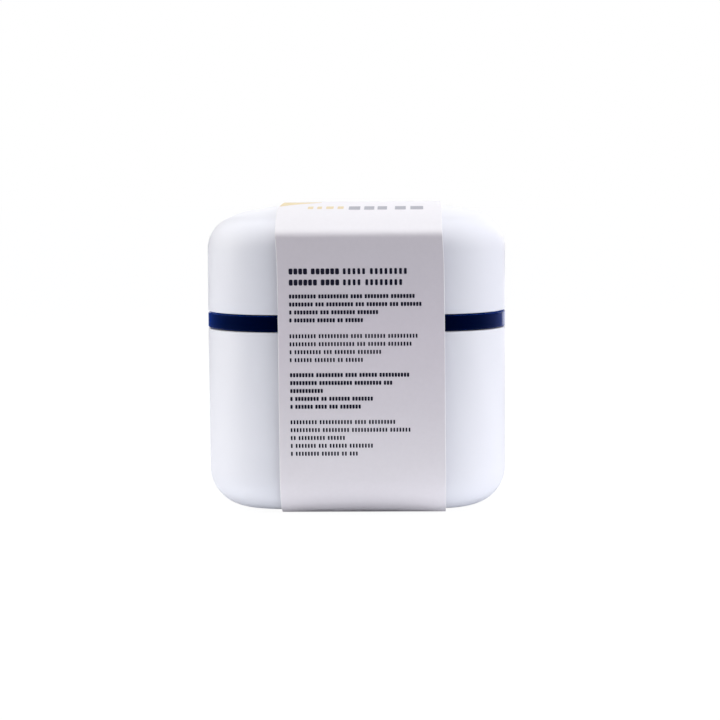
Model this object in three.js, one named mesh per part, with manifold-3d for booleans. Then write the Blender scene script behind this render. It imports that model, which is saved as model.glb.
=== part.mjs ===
// A denture case with a hinged lid, a lift-out strainer and a card sleeve round it.
// Millimetres, +Z up. The origin is on the table under the middle of the case.
// The hinge side faces -Y and the push button faces +Y.
import * as THREE from "three";
import { mergeVertices } from "three/addons/utils/BufferGeometryUtils.js";
import Module from "manifold-3d";

const wasm = await Module();
wasm.setup();

// Driving dimensions of the case
const CASE_WIDTH = 90;
const CASE_DEPTH = 90;
const PLAN_RADIUS = 22.5;
const TUB_HEIGHT = 54.2;
const BAND_HEIGHT = 5.1;
const LID_SIDE_HEIGHT = 18.6;
const SHOULDER_RADIUS = 10.2;
const CROWN_RISE = 2.2;
const CROWN_POWER = 4;
const FOOT_RADIUS = 11.5;
const TUB_TAPER = 0.2;
const TUB_WALL = 2;
const LID_WALL = 2;
const FLOOR_THICKNESS = 2.2;
const LEAST_CORNER_RADIUS = 0.25;

// Clearances that all the fits share
const SEAT_GAP = 0.3;
const SEAM_GAP = 0.4;
const RUNNING_GAP = 0.4;
const OVERRUN = 2;

// Card sleeve round the case
const CARD_THICKNESS = 0.5;
const SLEEVE_WIDTH = 49;
const SLEEVE_SHIFT = 2;
const SLEEVE_BEND_RADIUS = 14;
const SLEEVE_CROWN_GAP = 0.3;
const CREASE_DROP = 7.7;
const CREASE_RADIUS = 0.7;
const SLOPE_RUN = 10;
const SLOPE_RISE = 6.4;
const CROWN_RUN = 37;

// Navy collar between the tub and the lid
const COLLAR_WALL = 1.65;
const NECK_HEIGHT = 4.2;
const NECK_INSET = 2.4;
const SKIRT_DEPTH = 5;
const LEDGE_WIDTH = 3.8;
const LEDGE_THICKNESS = 1.6;

// Seal ring in the neck's groove
const SEAL_HEIGHT = 1.6;
const SEAL_STAND_OUT = 0.1;
const GROOVE_DEPTH = 0.8;
const GROOVE_RISE = 1.5;

// Hinge on the -Y side
const HINGE_INSET = 1;
const HINGE_DROP = 3;
const KNUCKLE_RADIUS = 1.8;
const PIN_RADIUS = 0.8;
const PIN_CLEARANCE = 0.25;
const PIN_SLOT = 1.3;
const HINGE_LENGTH = 32;
const LID_KNUCKLE_LENGTH = 8;
const LID_KNUCKLE_PLACE = 8;
const ARM_THICKNESS = 1.8;

// Push button and catch on the +Y side
const BUTTON_TRAVEL = 1;
const BUTTON_WIDTH = 18;
const BUTTON_HEIGHT = 4;
const BUTTON_THICKNESS = 1.1;
const TONGUE_WIDTH = 10;
const TONGUE_LENGTH = 3.6;
const TONGUE_THICKNESS = 1.1;
const TONGUE_BACKSET = 0.5;
const WINDOW_WIDTH = 7.2;
const WINDOW_HEIGHT = 1.6;
const CATCH_BAR = 0.7;
const HOOK_WIDTH = 6.4;
const HOOK_THICKNESS = 0.9;
const NOSE_LENGTH = 1.25;
const NOSE_HEIGHT = 0.9;
const BOSS_WALL = 1.3;
const STEM_RADIUS = 0.9;
const STEM_LENGTH = 2;
const STEM_PLACE = 6.9;

// Coil springs behind the button
const SPRING_RADIUS = 1.25;
const SPRING_WIRE_RADIUS = 0.2;
const SPRING_LENGTH = 2.1;
const SPRING_TURNS = 2;
const SPRING_SEAT_DEPTH = 2;

// Strainer basket
const BASKET_DEPTH = 43;
const BASKET_WALL = 1.5;
const BASKET_TAPER = 1.2;
const BASKET_FOOT_RADIUS = 8;
const RIM_WIDTH = 1.8;
const RIM_THICKNESS = 1.6;
const BASKET_WALL_GAP = 0.3;
const DRAIN_RADIUS = 2;
const DRAIN_PITCH = 8;
const DRAIN_ROWS = 7;
const SLIT_WIDTH = 3;
const SLIT_HEIGHT = 17;
const SLIT_PITCH = 8;
const SLITS_PER_SIDE = 5;
const SLIT_TOP_DROP = 11;

// Swinging handle in the strainer
const HANDLE_REACH = 20;
const HANDLE_BAR = 3;
const HANDLE_THICKNESS = 2.4;
const HANDLE_BEND = 7;
const HANDLE_DROP = 5.2;
const TRUNNION_RADIUS = 1.3;
const TRUNNION_CLEARANCE = 0.3;
const HANDLE_SIDE_GAP = 0.4;

// How finely round things are drawn
const CORNER_STEPS = 8;
const FILLET_STEPS = 6;
const CROWN_STEPS = 4;
const ROUND_STEPS = 24;
const SMALL_ROUND_STEPS = 10;
const SPRING_STEPS_PER_TURN = 8;
const SPRING_SIDES = 5;

// Heights and half sizes worked out from the values above
const HALF_WIDTH = CASE_WIDTH / 2;
const HALF_DEPTH = CASE_DEPTH / 2;
const TUB_LOW = CARD_THICKNESS + SEAT_GAP;
const TUB_TOP = TUB_LOW + TUB_HEIGHT;
const LID_LOW = TUB_TOP + BAND_HEIGHT;
const LID_SHOULDER = LID_LOW + LID_SIDE_HEIGHT;
const LID_TOP = LID_SHOULDER + SHOULDER_RADIUS + CROWN_RISE;
const COLLAR_LOW = TUB_TOP + SEAT_GAP;
const COLLAR_TOP = LID_LOW - SEAM_GAP;
const NECK_TOP = COLLAR_TOP + NECK_HEIGHT;
const SKIRT_LOW = COLLAR_LOW - SKIRT_DEPTH;
const COLLAR_INNER = NECK_INSET + COLLAR_WALL;
const LEDGE_INNER = COLLAR_INNER + LEDGE_WIDTH;
const LEDGE_TOP = SKIRT_LOW + LEDGE_THICKNESS;
const GROOVE_LOW = COLLAR_TOP + GROOVE_RISE;
const GROOVE_TOP = GROOVE_LOW + SEAL_HEIGHT + 2 * SEAT_GAP;

// Meshes and solids
function toManifold(geometry) {
  const bare = geometry.clone();
  bare.deleteAttribute("normal");
  bare.deleteAttribute("uv");
  const merged = mergeVertices(bare);
  return new wasm.Manifold(new wasm.Mesh({
    numProp: 3,
    vertProperties: new Float32Array(merged.attributes.position.array),
    triVerts: new Uint32Array(merged.index.array),
  }));
}

function toGeometry(manifold) {
  const mesh = manifold.getMesh();
  const indexed = new THREE.BufferGeometry();
  indexed.setAttribute("position", new THREE.BufferAttribute(mesh.vertProperties, mesh.numProp));
  indexed.setIndex(new THREE.BufferAttribute(mesh.triVerts, 1));
  const geometry = indexed.toNonIndexed();
  geometry.computeVertexNormals();
  return geometry;
}

function joined(solids) {
  return solids.reduce((whole, solid) => whole.add(solid));
}

function cut(body, tools) {
  return body.subtract(joined(tools));
}

// A box from its lowest corner to its highest corner
function block(x0, y0, z0, x1, y1, z1) {
  const box = new THREE.BoxGeometry(x1 - x0, y1 - y0, z1 - z0);
  return toManifold(box.translate((x0 + x1) / 2, (y0 + y1) / 2, (z0 + z1) / 2));
}

// A cylinder about the line through (y, z) that runs along X from x0 to x1
function rodAlongX(radius, x0, x1, y, z, steps) {
  const rod = new THREE.CylinderGeometry(radius, radius, x1 - x0, steps);
  rod.rotateZ(Math.PI / 2);
  return toManifold(rod.translate((x0 + x1) / 2, y, z));
}

// A cylinder about the line through (x, z) that runs along Y from y0 to y1
function rodAlongY(radius, y0, y1, x, z, steps) {
  const rod = new THREE.CylinderGeometry(radius, radius, y1 - y0, steps);
  return toManifold(rod.translate(x, (y0 + y1) / 2, z));
}

// One level of a rounded square: its outline stands in from the case's side by inset
function level(inset, z, share = 1) {
  const halfX = (HALF_WIDTH - inset) * share;
  const halfY = (HALF_DEPTH - inset) * share;
  const radius = Math.max(PLAN_RADIUS - inset, LEAST_CORNER_RADIUS) * share;
  const points = [];
  for (let corner = 0; corner < 4; corner += 1) {
    const signX = corner === 0 || corner === 3 ? 1 : -1;
    const signY = corner < 2 ? 1 : -1;
    for (let step = 0; step <= CORNER_STEPS; step += 1) {
      const angle = (corner + step / CORNER_STEPS) * Math.PI / 2;
      points.push(new THREE.Vector3(
        signX * (halfX - radius) + radius * Math.cos(angle),
        signY * (halfY - radius) + radius * Math.sin(angle),
        z,
      ));
    }
  }
  return points;
}

// A closed solid whose skin runs up the outside through the levels in order.
// A ring joins its last level to its first, and anything else gets flat ends.
function skin(levels, isRing) {
  const around = levels[0].length;
  const positions = [];
  const pushTriangle = (a, b, c) => positions.push(a.x, a.y, a.z, b.x, b.y, b.z, c.x, c.y, c.z);
  const spans = isRing ? levels.length : levels.length - 1;
  for (let span = 0; span < spans; span += 1) {
    const low = levels[span];
    const high = levels[(span + 1) % levels.length];
    for (let place = 0; place < around; place += 1) {
      const next = (place + 1) % around;
      pushTriangle(low[place], low[next], high[next]);
      pushTriangle(low[place], high[next], high[place]);
    }
  }
  if (!isRing) {
    const first = levels[0];
    const last = levels[levels.length - 1];
    const start = new THREE.Vector3(0, 0, first[0].z);
    const end = new THREE.Vector3(0, 0, last[0].z);
    for (let place = 0; place < around; place += 1) {
      const next = (place + 1) % around;
      pushTriangle(start, first[next], first[place]);
      pushTriangle(end, last[place], last[next]);
    }
  }
  const geometry = new THREE.BufferGeometry();
  geometry.setAttribute("position", new THREE.Float32BufferAttribute(positions, 3));
  return toManifold(geometry);
}

// Levels down round a foot from its side to its flat, or back up when reversed
function footLevels(inset, radius, flatHeight) {
  const levels = [];
  for (let step = 0; step <= FILLET_STEPS; step += 1) {
    const angle = step / FILLET_STEPS * Math.PI / 2;
    levels.push(level(inset + radius * (1 - Math.cos(angle)), flatHeight + radius * (1 - Math.sin(angle))));
  }
  return levels;
}

// Levels up over the lid's shoulder and in across its crown, at a depth below the outside
function domeLevels(depth) {
  const radius = SHOULDER_RADIUS - depth;
  const lean = Math.atan2(CROWN_POWER * CROWN_RISE, HALF_WIDTH - SHOULDER_RADIUS);
  const levels = [];
  for (let step = 0; step <= FILLET_STEPS; step += 1) {
    const angle = step / FILLET_STEPS * (Math.PI / 2 - lean);
    levels.push(level(depth + radius * (1 - Math.cos(angle)), LID_SHOULDER + radius * Math.sin(angle)));
  }
  const edgeInset = depth + radius * (1 - Math.sin(lean));
  const edgeHeight = LID_SHOULDER + radius * Math.cos(lean);
  const rise = LID_TOP - depth - edgeHeight;
  for (let step = 1; step < CROWN_STEPS; step += 1) {
    const share = 1 - step / CROWN_STEPS;
    levels.push(level(edgeInset, edgeHeight + rise * (1 - share ** CROWN_POWER), share));
  }
  return levels;
}

// White tub
function makeTub() {
  const floorTop = TUB_LOW + FLOOR_THICKNESS;
  const outside = footLevels(TUB_TAPER, FOOT_RADIUS, TUB_LOW).reverse();
  const inside = footLevels(TUB_TAPER + TUB_WALL, FOOT_RADIUS - TUB_WALL, floorTop);
  return skin([...outside, level(0, TUB_TOP), level(TUB_WALL, TUB_TOP), ...inside], false);
}

// Where the hinge turns
const HINGE_Y = -HALF_DEPTH + HINGE_INSET;
const HINGE_Z = LID_LOW - HINGE_DROP;
const KNUCKLE_CLEAR = KNUCKLE_RADIUS + SEAT_GAP;

// Places of the catch, counted from the front face inwards
const TONGUE_BACK = HALF_DEPTH - NECK_INSET + TONGUE_BACKSET;
const TONGUE_FRONT = TONGUE_BACK + TONGUE_THICKNESS;
const TONGUE_LOW = LID_LOW - TONGUE_LENGTH;
const WINDOW_LOW = TONGUE_LOW + CATCH_BAR;
const HOOK_LOW = TONGUE_LOW - SEAT_GAP - HOOK_THICKNESS;
const NOSE_LOW = WINDOW_LOW + SEAT_GAP;
const NOSE_TOP = NOSE_LOW + NOSE_HEIGHT;
const HOOK_FRONT = TONGUE_BACK - RUNNING_GAP;
const HOOK_BACK = HOOK_FRONT - HOOK_THICKNESS;
const BUTTON_BACK = TONGUE_FRONT + SEAT_GAP + BUTTON_TRAVEL;
const BUTTON_FRONT = BUTTON_BACK + BUTTON_THICKNESS;
const BUTTON_TOP = LID_LOW - SEAM_GAP;
const BUTTON_LOW = BUTTON_TOP - BUTTON_HEIGHT;
const BUTTON_MIDDLE = (BUTTON_TOP + BUTTON_LOW) / 2;
const POCKET_BACK = HOOK_BACK - BUTTON_TRAVEL - SEAT_GAP;
const POCKET_HALF = HOOK_WIDTH / 2 + RUNNING_GAP;
const POCKET_TOP = NOSE_TOP + RUNNING_GAP;

// Navy collar: a band flush with the case, a neck in the lid and a skirt in the tub
function makeCollar() {
  const skirtOut = TUB_WALL + SEAT_GAP;
  const ring = skin([
    level(skirtOut, SKIRT_LOW),
    level(skirtOut, COLLAR_LOW),
    level(0, COLLAR_LOW),
    level(0, COLLAR_TOP),
    level(NECK_INSET, COLLAR_TOP),
    level(NECK_INSET, GROOVE_LOW),
    level(NECK_INSET + GROOVE_DEPTH, GROOVE_LOW),
    level(NECK_INSET + GROOVE_DEPTH, GROOVE_TOP),
    level(NECK_INSET, GROOVE_TOP),
    level(NECK_INSET, NECK_TOP),
    level(COLLAR_INNER, NECK_TOP),
    level(COLLAR_INNER, LEDGE_TOP),
    level(LEDGE_INNER, LEDGE_TOP),
    level(LEDGE_INNER, SKIRT_LOW),
  ], true);
  const bossHalf = POCKET_HALF + BOSS_WALL;
  const boss = block(-bossHalf, POCKET_BACK - BOSS_WALL, COLLAR_LOW,
    bossHalf, HALF_DEPTH - COLLAR_INNER + SEAT_GAP, POCKET_TOP + BOSS_WALL);
  const hingeHalf = HINGE_LENGTH / 2;
  const knuckle = rodAlongX(KNUCKLE_RADIUS, -hingeHalf, hingeHalf, HINGE_Y, HINGE_Z, ROUND_STEPS);
  const pinHole = rodAlongX(PIN_RADIUS + PIN_CLEARANCE, -hingeHalf - SEAT_GAP, hingeHalf + SEAT_GAP,
    HINGE_Y, HINGE_Z, ROUND_STEPS);
  const snapSlot = block(-hingeHalf - SEAT_GAP, HINGE_Y - KNUCKLE_RADIUS - OVERRUN, HINGE_Z - PIN_SLOT / 2,
    hingeHalf + SEAT_GAP, HINGE_Y, HINGE_Z + PIN_SLOT / 2);
  const tools = [pinHole, snapSlot];
  for (const side of [-1, 1]) {
    const middle = side * LID_KNUCKLE_PLACE;
    const half = LID_KNUCKLE_LENGTH / 2 + SEAT_GAP;
    tools.push(rodAlongX(KNUCKLE_CLEAR, middle - half, middle + half, HINGE_Y, HINGE_Z, ROUND_STEPS));
    tools.push(block(middle - half, -HALF_DEPTH - OVERRUN, HINGE_Z - KNUCKLE_CLEAR,
      middle + half, -HALF_DEPTH + ARM_THICKNESS + SEAT_GAP, COLLAR_TOP + OVERRUN));
    tools.push(rodAlongY(STEM_RADIUS + PIN_CLEARANCE, BUTTON_BACK - STEM_LENGTH - BUTTON_TRAVEL - SEAT_GAP,
      HALF_DEPTH + OVERRUN, side * STEM_PLACE, BUTTON_MIDDLE, SMALL_ROUND_STEPS));
    tools.push(rodAlongY(SPRING_RADIUS + SPRING_WIRE_RADIUS + SEAT_GAP, HALF_DEPTH - SPRING_SEAT_DEPTH,
      HALF_DEPTH + OVERRUN, side * STEM_PLACE, BUTTON_MIDDLE, SMALL_ROUND_STEPS));
  }
  const recessHalf = BUTTON_WIDTH / 2 + RUNNING_GAP;
  tools.push(block(-recessHalf, BUTTON_BACK - BUTTON_TRAVEL - SEAT_GAP, COLLAR_LOW - SEAT_GAP,
    recessHalf, HALF_DEPTH + OVERRUN, COLLAR_TOP + SEAT_GAP));
  const slotHalf = TONGUE_WIDTH / 2 + RUNNING_GAP;
  tools.push(block(-slotHalf, TONGUE_BACK - SEAT_GAP, TONGUE_LOW - SEAT_GAP,
    slotHalf, HALF_DEPTH + OVERRUN, COLLAR_TOP + OVERRUN));
  tools.push(block(-POCKET_HALF, POCKET_BACK, HOOK_LOW - SEAT_GAP,
    POCKET_HALF, HALF_DEPTH + OVERRUN, TONGUE_LOW));
  tools.push(block(-POCKET_HALF, POCKET_BACK, HOOK_LOW - SEAT_GAP,
    POCKET_HALF, TONGUE_BACK, POCKET_TOP));
  return cut(joined([ring, boss, knuckle]), tools);
}

// Soft ring in the neck's groove
function makeSealRing() {
  const inner = NECK_INSET + GROOVE_DEPTH - SEAT_GAP;
  const outer = NECK_INSET - SEAL_STAND_OUT;
  const low = GROOVE_LOW + SEAT_GAP;
  const high = low + SEAL_HEIGHT;
  return skin([level(outer, low), level(outer, high), level(inner, high), level(inner, low)], true);
}

// White lid with its hinge arms and its catch tongue
function makeLid() {
  const outside = skin([level(0, LID_LOW), ...domeLevels(0)], false);
  const inside = skin([level(LID_WALL, LID_LOW - OVERRUN), ...domeLevels(LID_WALL)], false);
  const pieces = [outside.subtract(inside)];
  for (const side of [-1, 1]) {
    const start = side * LID_KNUCKLE_PLACE - LID_KNUCKLE_LENGTH / 2;
    const end = start + LID_KNUCKLE_LENGTH;
    pieces.push(rodAlongX(KNUCKLE_RADIUS, start, end, HINGE_Y, HINGE_Z, ROUND_STEPS));
    pieces.push(block(start, -HALF_DEPTH, HINGE_Z, end, -HALF_DEPTH + ARM_THICKNESS, LID_LOW + SEAM_GAP));
  }
  pieces.push(block(-TONGUE_WIDTH / 2, TONGUE_BACK, TONGUE_LOW,
    TONGUE_WIDTH / 2, TONGUE_FRONT, LID_LOW + SEAM_GAP));
  const pinHole = rodAlongX(PIN_RADIUS + PIN_CLEARANCE, -HINGE_LENGTH, HINGE_LENGTH,
    HINGE_Y, HINGE_Z, ROUND_STEPS);
  const catchWindow = block(-WINDOW_WIDTH / 2, TONGUE_BACK - OVERRUN, WINDOW_LOW,
    WINDOW_WIDTH / 2, TONGUE_FRONT + OVERRUN, WINDOW_LOW + WINDOW_HEIGHT);
  return cut(joined(pieces), [pinHole, catchWindow]);
}

function makeHingePin() {
  return rodAlongX(PIN_RADIUS, -HINGE_LENGTH / 2, HINGE_LENGTH / 2, HINGE_Y, HINGE_Z, ROUND_STEPS);
}

// Push button: a rounded plate, a hook that goes under and behind the tongue, and two stems
function makeButton() {
  const radius = BUTTON_HEIGHT / 2;
  const straight = BUTTON_WIDTH / 2 - radius;
  const halfHook = HOOK_WIDTH / 2;
  const pieces = [
    block(-straight, BUTTON_BACK, BUTTON_LOW, straight, BUTTON_FRONT, BUTTON_TOP),
    block(-halfHook, HOOK_BACK, HOOK_LOW,
      halfHook, BUTTON_FRONT - BUTTON_THICKNESS / 2, HOOK_LOW + HOOK_THICKNESS),
    block(-halfHook, HOOK_BACK, HOOK_LOW, halfHook, HOOK_FRONT, NOSE_TOP),
    block(-halfHook, HOOK_BACK, NOSE_LOW, halfHook, HOOK_FRONT + NOSE_LENGTH, NOSE_TOP),
  ];
  for (const side of [-1, 1]) {
    pieces.push(rodAlongY(radius, BUTTON_BACK, BUTTON_FRONT, side * straight, BUTTON_MIDDLE, ROUND_STEPS));
    pieces.push(rodAlongY(STEM_RADIUS, BUTTON_BACK - STEM_LENGTH, BUTTON_BACK + BUTTON_THICKNESS / 2,
      side * STEM_PLACE, BUTTON_MIDDLE, SMALL_ROUND_STEPS));
  }
  return joined(pieces);
}

// One coil spring round a stem of the button
function makeSpring(side) {
  const length = SPRING_LENGTH - 2 * SPRING_WIRE_RADIUS;
  const steps = SPRING_TURNS * SPRING_STEPS_PER_TURN;
  const back = BUTTON_BACK - SEAT_GAP - SPRING_WIRE_RADIUS - length;
  const rings = [];
  for (let step = 0; step <= steps; step += 1) {
    const turn = step / SPRING_STEPS_PER_TURN * 2 * Math.PI;
    const ring = [];
    for (let corner = 0; corner < SPRING_SIDES; corner += 1) {
      const angle = corner / SPRING_SIDES * 2 * Math.PI;
      const reach = SPRING_RADIUS + SPRING_WIRE_RADIUS * Math.cos(angle);
      ring.push(new THREE.Vector3(
        side * STEM_PLACE + reach * Math.cos(turn),
        back + length * step / steps + SPRING_WIRE_RADIUS * Math.sin(angle),
        BUTTON_MIDDLE + reach * Math.sin(turn),
      ));
    }
    rings.push(ring);
  }
  return coil(rings);
}

// A closed wire through rings of points, with a flat end on each side
function coil(rings) {
  const positions = [];
  const push = (a, b, c) => positions.push(a.x, a.y, a.z, b.x, b.y, b.z, c.x, c.y, c.z);
  for (let span = 0; span < rings.length - 1; span += 1) {
    for (let corner = 0; corner < SPRING_SIDES; corner += 1) {
      const next = (corner + 1) % SPRING_SIDES;
      push(rings[span][corner], rings[span][next], rings[span + 1][next]);
      push(rings[span][corner], rings[span + 1][next], rings[span + 1][corner]);
    }
  }
  const last = rings[rings.length - 1];
  for (let corner = 1; corner < SPRING_SIDES - 1; corner += 1) {
    push(rings[0][0], rings[0][corner + 1], rings[0][corner]);
    push(last[0], last[corner], last[corner + 1]);
  }
  const geometry = new THREE.BufferGeometry();
  geometry.setAttribute("position", new THREE.Float32BufferAttribute(positions, 3));
  return toManifold(geometry);
}

// Where the strainer hangs on the collar's ledge
const RIM_LOW = LEDGE_TOP + SEAT_GAP;
const RIM_TOP = RIM_LOW + RIM_THICKNESS;
const BASKET_INSET = LEDGE_INNER + BASKET_WALL_GAP;
const BASKET_LOW = RIM_TOP - BASKET_DEPTH;
const HANDLE_Z = RIM_TOP - HANDLE_DROP;

// Navy strainer basket with drain holes in its floor and slits in its sides
function makeBasket() {
  const rimInset = BASKET_INSET - RIM_WIDTH;
  const inner = BASKET_INSET + BASKET_WALL;
  const cup = skin([
    ...footLevels(BASKET_INSET + BASKET_TAPER, BASKET_FOOT_RADIUS, BASKET_LOW).reverse(),
    level(BASKET_INSET, RIM_LOW),
    level(rimInset, RIM_LOW),
    level(rimInset, RIM_TOP),
    level(inner, RIM_TOP),
    ...footLevels(inner + BASKET_TAPER, BASKET_FOOT_RADIUS - BASKET_WALL, BASKET_LOW + BASKET_WALL),
  ], false);
  const tools = [];
  const middle = (DRAIN_ROWS - 1) / 2;
  const drainLength = BASKET_WALL + 2 * OVERRUN;
  for (let row = 0; row < DRAIN_ROWS; row += 1) {
    for (let column = 0; column < DRAIN_ROWS; column += 1) {
      const isCorner = Math.abs(row - middle) === middle && Math.abs(column - middle) === middle;
      if (!isCorner) {
        const hole = new THREE.CylinderGeometry(DRAIN_RADIUS, DRAIN_RADIUS, drainLength, SMALL_ROUND_STEPS);
        hole.rotateX(Math.PI / 2);
        const x = (column - middle) * DRAIN_PITCH;
        const y = (row - middle) * DRAIN_PITCH;
        tools.push(toManifold(hole.translate(x, y, BASKET_LOW + BASKET_WALL / 2)));
      }
    }
  }
  const slitTop = RIM_TOP - SLIT_TOP_DROP;
  const slitLow = slitTop - SLIT_HEIGHT;
  const halfSlit = SLIT_WIDTH / 2;
  const reachX = HALF_WIDTH - BASKET_INSET;
  const reachY = HALF_DEPTH - BASKET_INSET;
  const cutDepth = BASKET_WALL + BASKET_TAPER + OVERRUN;
  for (let place = 0; place < SLITS_PER_SIDE; place += 1) {
    const along = (place - (SLITS_PER_SIDE - 1) / 2) * SLIT_PITCH;
    for (const side of [-1, 1]) {
      const [x0, x1] = [side * (reachX + OVERRUN), side * (reachX - cutDepth)].sort((a, b) => a - b);
      const [y0, y1] = [side * (reachY + OVERRUN), side * (reachY - cutDepth)].sort((a, b) => a - b);
      tools.push(block(x0, along - halfSlit, slitLow, x1, along + halfSlit, slitTop));
      tools.push(block(along - halfSlit, y0, slitLow, along + halfSlit, y1, slitTop));
    }
  }
  tools.push(rodAlongX(TRUNNION_RADIUS + TRUNNION_CLEARANCE, -HALF_WIDTH, HALF_WIDTH,
    0, HANDLE_Z, ROUND_STEPS));
  return cut(cup, tools);
}

// Swinging handle: a flat bow with a round trunnion at each end
function makeHandle() {
  const wallHere = BASKET_INSET + BASKET_WALL + BASKET_TAPER * HANDLE_DROP / BASKET_DEPTH;
  const half = HALF_WIDTH - wallHere - HANDLE_SIDE_GAP;
  const bow = new THREE.Shape();
  bow.moveTo(-half, 0);
  bow.lineTo(-half, HANDLE_REACH - HANDLE_BEND);
  bow.absarc(-half + HANDLE_BEND, HANDLE_REACH - HANDLE_BEND, HANDLE_BEND, Math.PI, Math.PI / 2, true);
  bow.lineTo(half - HANDLE_BEND, HANDLE_REACH);
  bow.absarc(half - HANDLE_BEND, HANDLE_REACH - HANDLE_BEND, HANDLE_BEND, Math.PI / 2, 0, true);
  bow.lineTo(half, 0);
  bow.lineTo(half - HANDLE_BAR, 0);
  bow.lineTo(half - HANDLE_BAR, HANDLE_REACH - HANDLE_BEND);
  const innerBend = HANDLE_BEND - HANDLE_BAR;
  bow.absarc(half - HANDLE_BEND, HANDLE_REACH - HANDLE_BEND, innerBend, 0, Math.PI / 2, false);
  bow.lineTo(-half + HANDLE_BEND, HANDLE_REACH - HANDLE_BAR);
  bow.absarc(-half + HANDLE_BEND, HANDLE_REACH - HANDLE_BEND, innerBend, Math.PI / 2, Math.PI, false);
  bow.lineTo(-half + HANDLE_BAR, 0);
  const slab = new THREE.ExtrudeGeometry(bow, {
    depth: HANDLE_THICKNESS,
    bevelEnabled: false,
    curveSegments: FILLET_STEPS,
  });
  const pieces = [toManifold(slab.translate(0, 0, HANDLE_Z - HANDLE_THICKNESS / 2))];
  for (const side of [-1, 1]) {
    const inner = side * (half - HANDLE_BAR);
    const outer = side * (HALF_WIDTH - BASKET_INSET - SEAT_GAP);
    const [x0, x1] = [inner, outer].sort((a, b) => a - b);
    pieces.push(rodAlongX(TRUNNION_RADIUS, x0, x1, 0, HANDLE_Z, ROUND_STEPS));
    const rootEnd = side * half;
    const [r0, r1] = [inner, rootEnd].sort((a, b) => a - b);
    pieces.push(rodAlongX(HANDLE_BAR / 2, r0, r1, 0, HANDLE_Z, ROUND_STEPS));
  }
  return joined(pieces);
}

// Card sleeve: a closed loop that stands off the sides and bows over the crown
function makeSleeve() {
  const reach = BUTTON_FRONT + SEAT_GAP + CARD_THICKNESS;
  const peak = LID_TOP + SLEEVE_CROWN_GAP + CARD_THICKNESS;
  const outline = (inset) => {
    const side = reach - inset;
    const top = peak - inset;
    const crease = peak - CREASE_DROP - inset;
    const bend = SLEEVE_BEND_RADIUS - inset;
    const loop = new THREE.Path();
    loop.moveTo(-side + bend, inset);
    loop.lineTo(side - bend, inset);
    loop.absarc(side - bend, inset + bend, bend, -Math.PI / 2, 0, false);
    loop.lineTo(side, crease - CREASE_RADIUS);
    loop.quadraticCurveTo(side, crease,
      side - CREASE_RADIUS, crease + CREASE_RADIUS * SLOPE_RISE / SLOPE_RUN);
    loop.bezierCurveTo(side - SLOPE_RUN, crease + SLOPE_RISE, CROWN_RUN, top, 0, top);
    loop.bezierCurveTo(-CROWN_RUN, top, -side + SLOPE_RUN, crease + SLOPE_RISE,
      -side + CREASE_RADIUS, crease + CREASE_RADIUS * SLOPE_RISE / SLOPE_RUN);
    loop.quadraticCurveTo(-side, crease, -side, crease - CREASE_RADIUS);
    loop.lineTo(-side, inset + bend);
    loop.absarc(-side + bend, inset + bend, bend, Math.PI, Math.PI * 3 / 2, false);
    return loop;
  };
  const card = new THREE.Shape(outline(0).getPoints(FILLET_STEPS));
  card.holes.push(new THREE.Path(outline(CARD_THICKNESS).getPoints(FILLET_STEPS)));
  const loop = new THREE.ExtrudeGeometry(card, { depth: SLEEVE_WIDTH, bevelEnabled: false });
  loop.translate(0, 0, -SLEEVE_WIDTH / 2);
  loop.rotateX(Math.PI / 2);
  loop.rotateZ(Math.PI / 2);
  return toManifold(loop.translate(SLEEVE_SHIFT, 0, 0));
}

// Finishes
const WHITE = { color: 0xeef0f5, roughness: 0.28, metalness: 0 };
const NAVY = { color: 0x05082a, roughness: 0.15, metalness: 0 };
const STEEL = { color: 0xb8bcc0, roughness: 0.3, metalness: 1 };
const CLEAR_RUBBER = { color: 0xc9d2da, roughness: 0.6, metalness: 0 };
const CARD = { color: 0xdad9de, roughness: 0.75, metalness: 0 };

const denture_case = new THREE.Group();

function place(name, solid, finish) {
  const mesh = new THREE.Mesh(toGeometry(solid), new THREE.MeshStandardMaterial(finish));
  mesh.name = name;
  denture_case.add(mesh);
}

place("tub", makeTub(), WHITE);
place("band_collar", makeCollar(), NAVY);
place("seal_ring", makeSealRing(), CLEAR_RUBBER);
place("lid", makeLid(), WHITE);
place("hinge_pin", makeHingePin(), STEEL);
place("latch_button", makeButton(), NAVY);
place("button_spring_left", makeSpring(-1), STEEL);
place("button_spring_right", makeSpring(1), STEEL);
place("strainer_basket", makeBasket(), NAVY);
place("strainer_handle", makeHandle(), NAVY);
place("card_sleeve", makeSleeve(), CARD);

export default denture_case;
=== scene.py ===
import math

import bmesh
import bpy
from mathutils import Matrix, Vector


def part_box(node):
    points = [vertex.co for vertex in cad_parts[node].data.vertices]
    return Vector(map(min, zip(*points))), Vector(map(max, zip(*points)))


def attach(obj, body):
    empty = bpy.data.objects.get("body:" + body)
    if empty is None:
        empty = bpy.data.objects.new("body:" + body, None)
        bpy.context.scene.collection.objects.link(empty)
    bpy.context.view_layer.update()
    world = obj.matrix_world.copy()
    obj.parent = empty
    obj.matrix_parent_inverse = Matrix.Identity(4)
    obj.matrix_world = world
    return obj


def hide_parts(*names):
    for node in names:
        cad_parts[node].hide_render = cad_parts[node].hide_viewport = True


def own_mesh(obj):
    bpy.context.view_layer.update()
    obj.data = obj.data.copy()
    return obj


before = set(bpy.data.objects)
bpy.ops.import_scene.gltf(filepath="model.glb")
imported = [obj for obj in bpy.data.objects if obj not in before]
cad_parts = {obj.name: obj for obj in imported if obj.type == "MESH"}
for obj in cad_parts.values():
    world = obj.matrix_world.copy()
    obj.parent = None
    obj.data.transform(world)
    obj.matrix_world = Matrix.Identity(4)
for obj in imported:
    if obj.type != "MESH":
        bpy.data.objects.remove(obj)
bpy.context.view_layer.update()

MM = 0.001

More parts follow.
